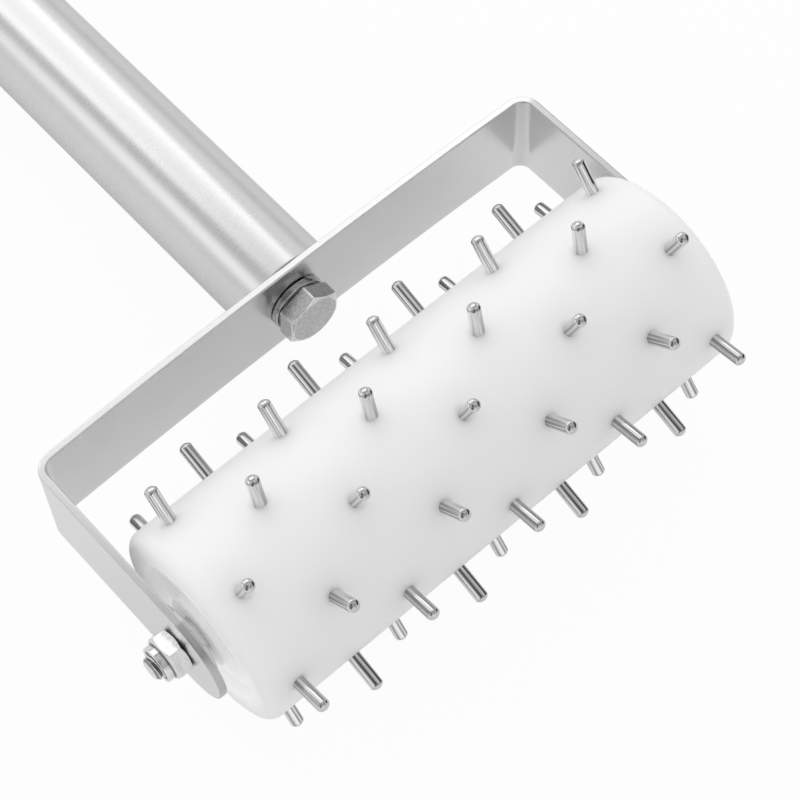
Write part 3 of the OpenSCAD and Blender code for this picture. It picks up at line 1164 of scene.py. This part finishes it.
# %% [markdown]
# ## Floor
# The docker lies on a pale table. More light would make the table white, but would bleach the docker too.
# So the table's material looks at the kind of ray: a camera ray is shown almost pure white, and a
# mirrored ray a share of white, because the photograph's steel shows a greyer table. The rest is real,
# and keeps the shadow.

# %% Floor
FLOOR_HALF = 3.0
WHITE_SEEN = 0.94
WHITE_MIRRORED = 0.36


def ray_kinds(tree):
    """For camera, mirrored and transmitted rays, a field each: 1 on a ray of that kind and 0 on any
    other."""
    rays = tree.nodes.new("ShaderNodeLightPath")
    return [Field(tree, rays.outputs[f"Is {kind} Ray"]) for kind in ("Camera", "Glossy", "Transmission")]


def flat_sheet(name, corners, material):
    """A sheet between four corners, which isn't part of the docker."""
    mesh = bpy.data.meshes.new(name)
    mesh.from_pydata(corners, [], [(0, 1, 2, 3)])
    mesh.materials.append(material)
    sheet = bpy.data.objects.new(name, mesh)
    bpy.context.scene.collection.objects.link(sheet)
    return sheet


table, shader, field = start_material("pale table")
finish(table, shader, Base_Color=(*grey(0.9), 1), Roughness=0.9, Specular_IOR_Level=0.0)
camera_ray, glossy_ray, through_ray = ray_kinds(table.node_tree)
white_share = camera_ray * WHITE_SEEN + (glossy_ray + through_ray) * WHITE_MIRRORED
real = Field(table.node_tree, shader.outputs["BSDF"])
white = field.node("ShaderNodeEmission", Color=(1, 1, 1, 1), Strength=1.0)
mixed = field.node("ShaderNodeMixShader", s0=white_share, s1=real, s2=white)
connect(table.node_tree, table.node_tree.nodes["Material Output"].inputs["Surface"], mixed)
signs = ((-1, -1), (1, -1), (1, 1), (-1, 1))
flat_sheet("floor", [(x * FLOOR_HALF, y * FLOOR_HALF, 0) for x, y in signs], table)
print("the floor is", 2 * FLOOR_HALF, "m wide")

# %% [markdown]
# ## Light
# The photograph looks as if it was taken in a light tent. Polished steel is hardly lit at all: it shows
# its surroundings, so the tent is what gives it its looks. One large soft panel stands behind the handle,
# a little to the right, and a small weak one at the left. Area lights are right for both, because steel
# mirrors their shape.

# %% The soft panels
PANEL_DISTANCE = 1.5
BACK_PANEL = (12, 38.5)
LEFT_PANEL = (-52, 25)


def direction(turn, rise):
    """Unit vector from two angles in degrees: the turn goes from the handle's end to the right, the rise
    up."""
    turn, rise = radians(turn), radians(rise)
    return Vector((sin(turn) * cos(rise), cos(turn) * cos(rise), sin(rise)))


def panel(name, aim, width, height, radiance):
    """Soft panel that faces the axle. Its power is its radiance times its area times pi."""
    outwards = direction(*aim)
    light = bpy.data.lights.new(name, "AREA")
    light.shape = "RECTANGLE"
    light.size = width
    light.size_y = height
    light.energy = radiance * width * height * pi
    lamp = bpy.data.objects.new(name, light)
    flat = Vector((0, 0, 1)).cross(outwards).normalized()
    lamp.matrix_world = place(outwards, flat, axle + outwards * PANEL_DISTANCE)
    lamp.visible_camera = False
    bpy.context.scene.collection.objects.link(lamp)
    print(name, "gives", round(light.energy, 2), "W")


panel("back panel", BACK_PANEL, width=1.4, height=1.0, radiance=1.33)
panel("left panel", LEFT_PANEL, width=0.6, height=0.5, radiance=0.65)

# %% [markdown]
# ## A dark card
# A card stands on the table to the right of the docker. Only mirrored rays meet it, so it draws a dark
# band into the steel and takes no light from anything. Photographers use such cards to give bright metal
# an edge.

# %% The card
CARD_TURN = 112
CARD_DISTANCE = 0.42
CARD_WIDTH = 0.4
CARD_HEIGHT = 0.25

black, shader, field = start_material("black card")
finish(black, shader, Base_Color=(*grey(0.03), 1), Roughness=0.9)
card_out = direction(CARD_TURN, 0)
card_foot = Vector((axle.x, axle.y, 0)) + card_out * CARD_DISTANCE
card_side = Vector((0, 0, 1)).cross(card_out) * CARD_WIDTH / 2
card_top = Vector((0, 0, CARD_HEIGHT))
card_corners = [card_foot + card_side * x + card_top * z for x, z in ((-1, 0), (1, 0), (1, 1), (-1, 1))]
card = flat_sheet("card", card_corners, black)
for ray in ("camera", "diffuse", "transmission", "shadow", "volume_scatter"):
    setattr(card, f"visible_{ray}", False)
print("the card stands", CARD_DISTANCE, "m from the axle")

# %% [markdown]
# ## The tent
# The tent is the world. Other rays find an even tone there, which is the soft light. Mirrored rays find
# what the steel shows: white walls, brighter on the camera's side, under a darker ceiling. Some places in
# it are darker: where the camera looks in, around the back panel, and to the right of the docker. Beside
# the back panel the wall glows a little. An environment picture could hold all this, but a rule for each
# place needs no file.

# %% Places in the tent
world = bpy.data.worlds.new("tent")
bpy.context.scene.world = world
world.use_nodes = True
tree = world.node_tree
outlook = Field(tree, tree.nodes.new("ShaderNodeTexCoord").outputs["Generated"])


def toward(turn, rise, inner, outer):
    """1 within the inner angle of a direction, falling to 0 at the outer angle, in degrees."""
    settings = {"operation": "DOT_PRODUCT"}
    aim = direction(turn, rise)
    cosine = outlook.node("ShaderNodeVectorMath", settings, out="Value", s0=outlook, s1=aim)
    return cosine.ramp(cos(radians(outer)), cos(radians(inner)))


CAMERA_HIGH = (-131, 66, 8, 22)
CAMERA_LOW = (-131, 30, 10, 28)
CAMERA_DARK = 0.8
# Turn, rise, inner angle, outer angle, and how dark it is.
DARK_PLACES = [
    (*BACK_PANEL, 10, 26, 1.0),
    (100, 12, 6, 28, 0.8),
    (60, 2, 4, 18, 0.2),
    (150, 25, 15, 40, 0.35),
]
GLOW_PLACE = (52, 24, 4, 20)
GLOW = 0.22

dark = toward(*CAMERA_HIGH).math("MAXIMUM", toward(*CAMERA_LOW)) * CAMERA_DARK
for *spot, share in DARK_PLACES:
    dark = dark + toward(*spot) * share
glow = toward(*GLOW_PLACE) * GLOW
print("the tent has", len(DARK_PLACES) + 1, "dark places")

# %% The tent around the docker
EVEN_LIGHT = 0.77
WALL_BEHIND = 0.8
WALL_BEFORE = 1.05
CEILING = 0.6
WALL_TOP = radians(24)
CEILING_START = radians(40)
WALL_BLEND = 0.5

_, behind, height = outlook.split()
wall_tone = behind.ramp(-WALL_BLEND, WALL_BLEND).mix(WALL_BEFORE, WALL_BEHIND)
ceiling_share = height.ramp(sin(WALL_TOP), sin(CEILING_START))
mirrored = ceiling_share.mix(wall_tone, CEILING) * (1 - dark) + glow
camera_ray, glossy_ray, through_ray = ray_kinds(tree)
shown = camera_ray + through_ray
strength = shown + glossy_ray * mirrored + (1 - shown - glossy_ray) * EVEN_LIGHT
tent = tree.nodes["Background"]
connect(tree, tent.inputs["Color"], (1, 1, 1, 1))
connect(tree, tent.inputs["Strength"], strength)
print("the world has", len(tree.nodes), "nodes")

# %% [markdown]
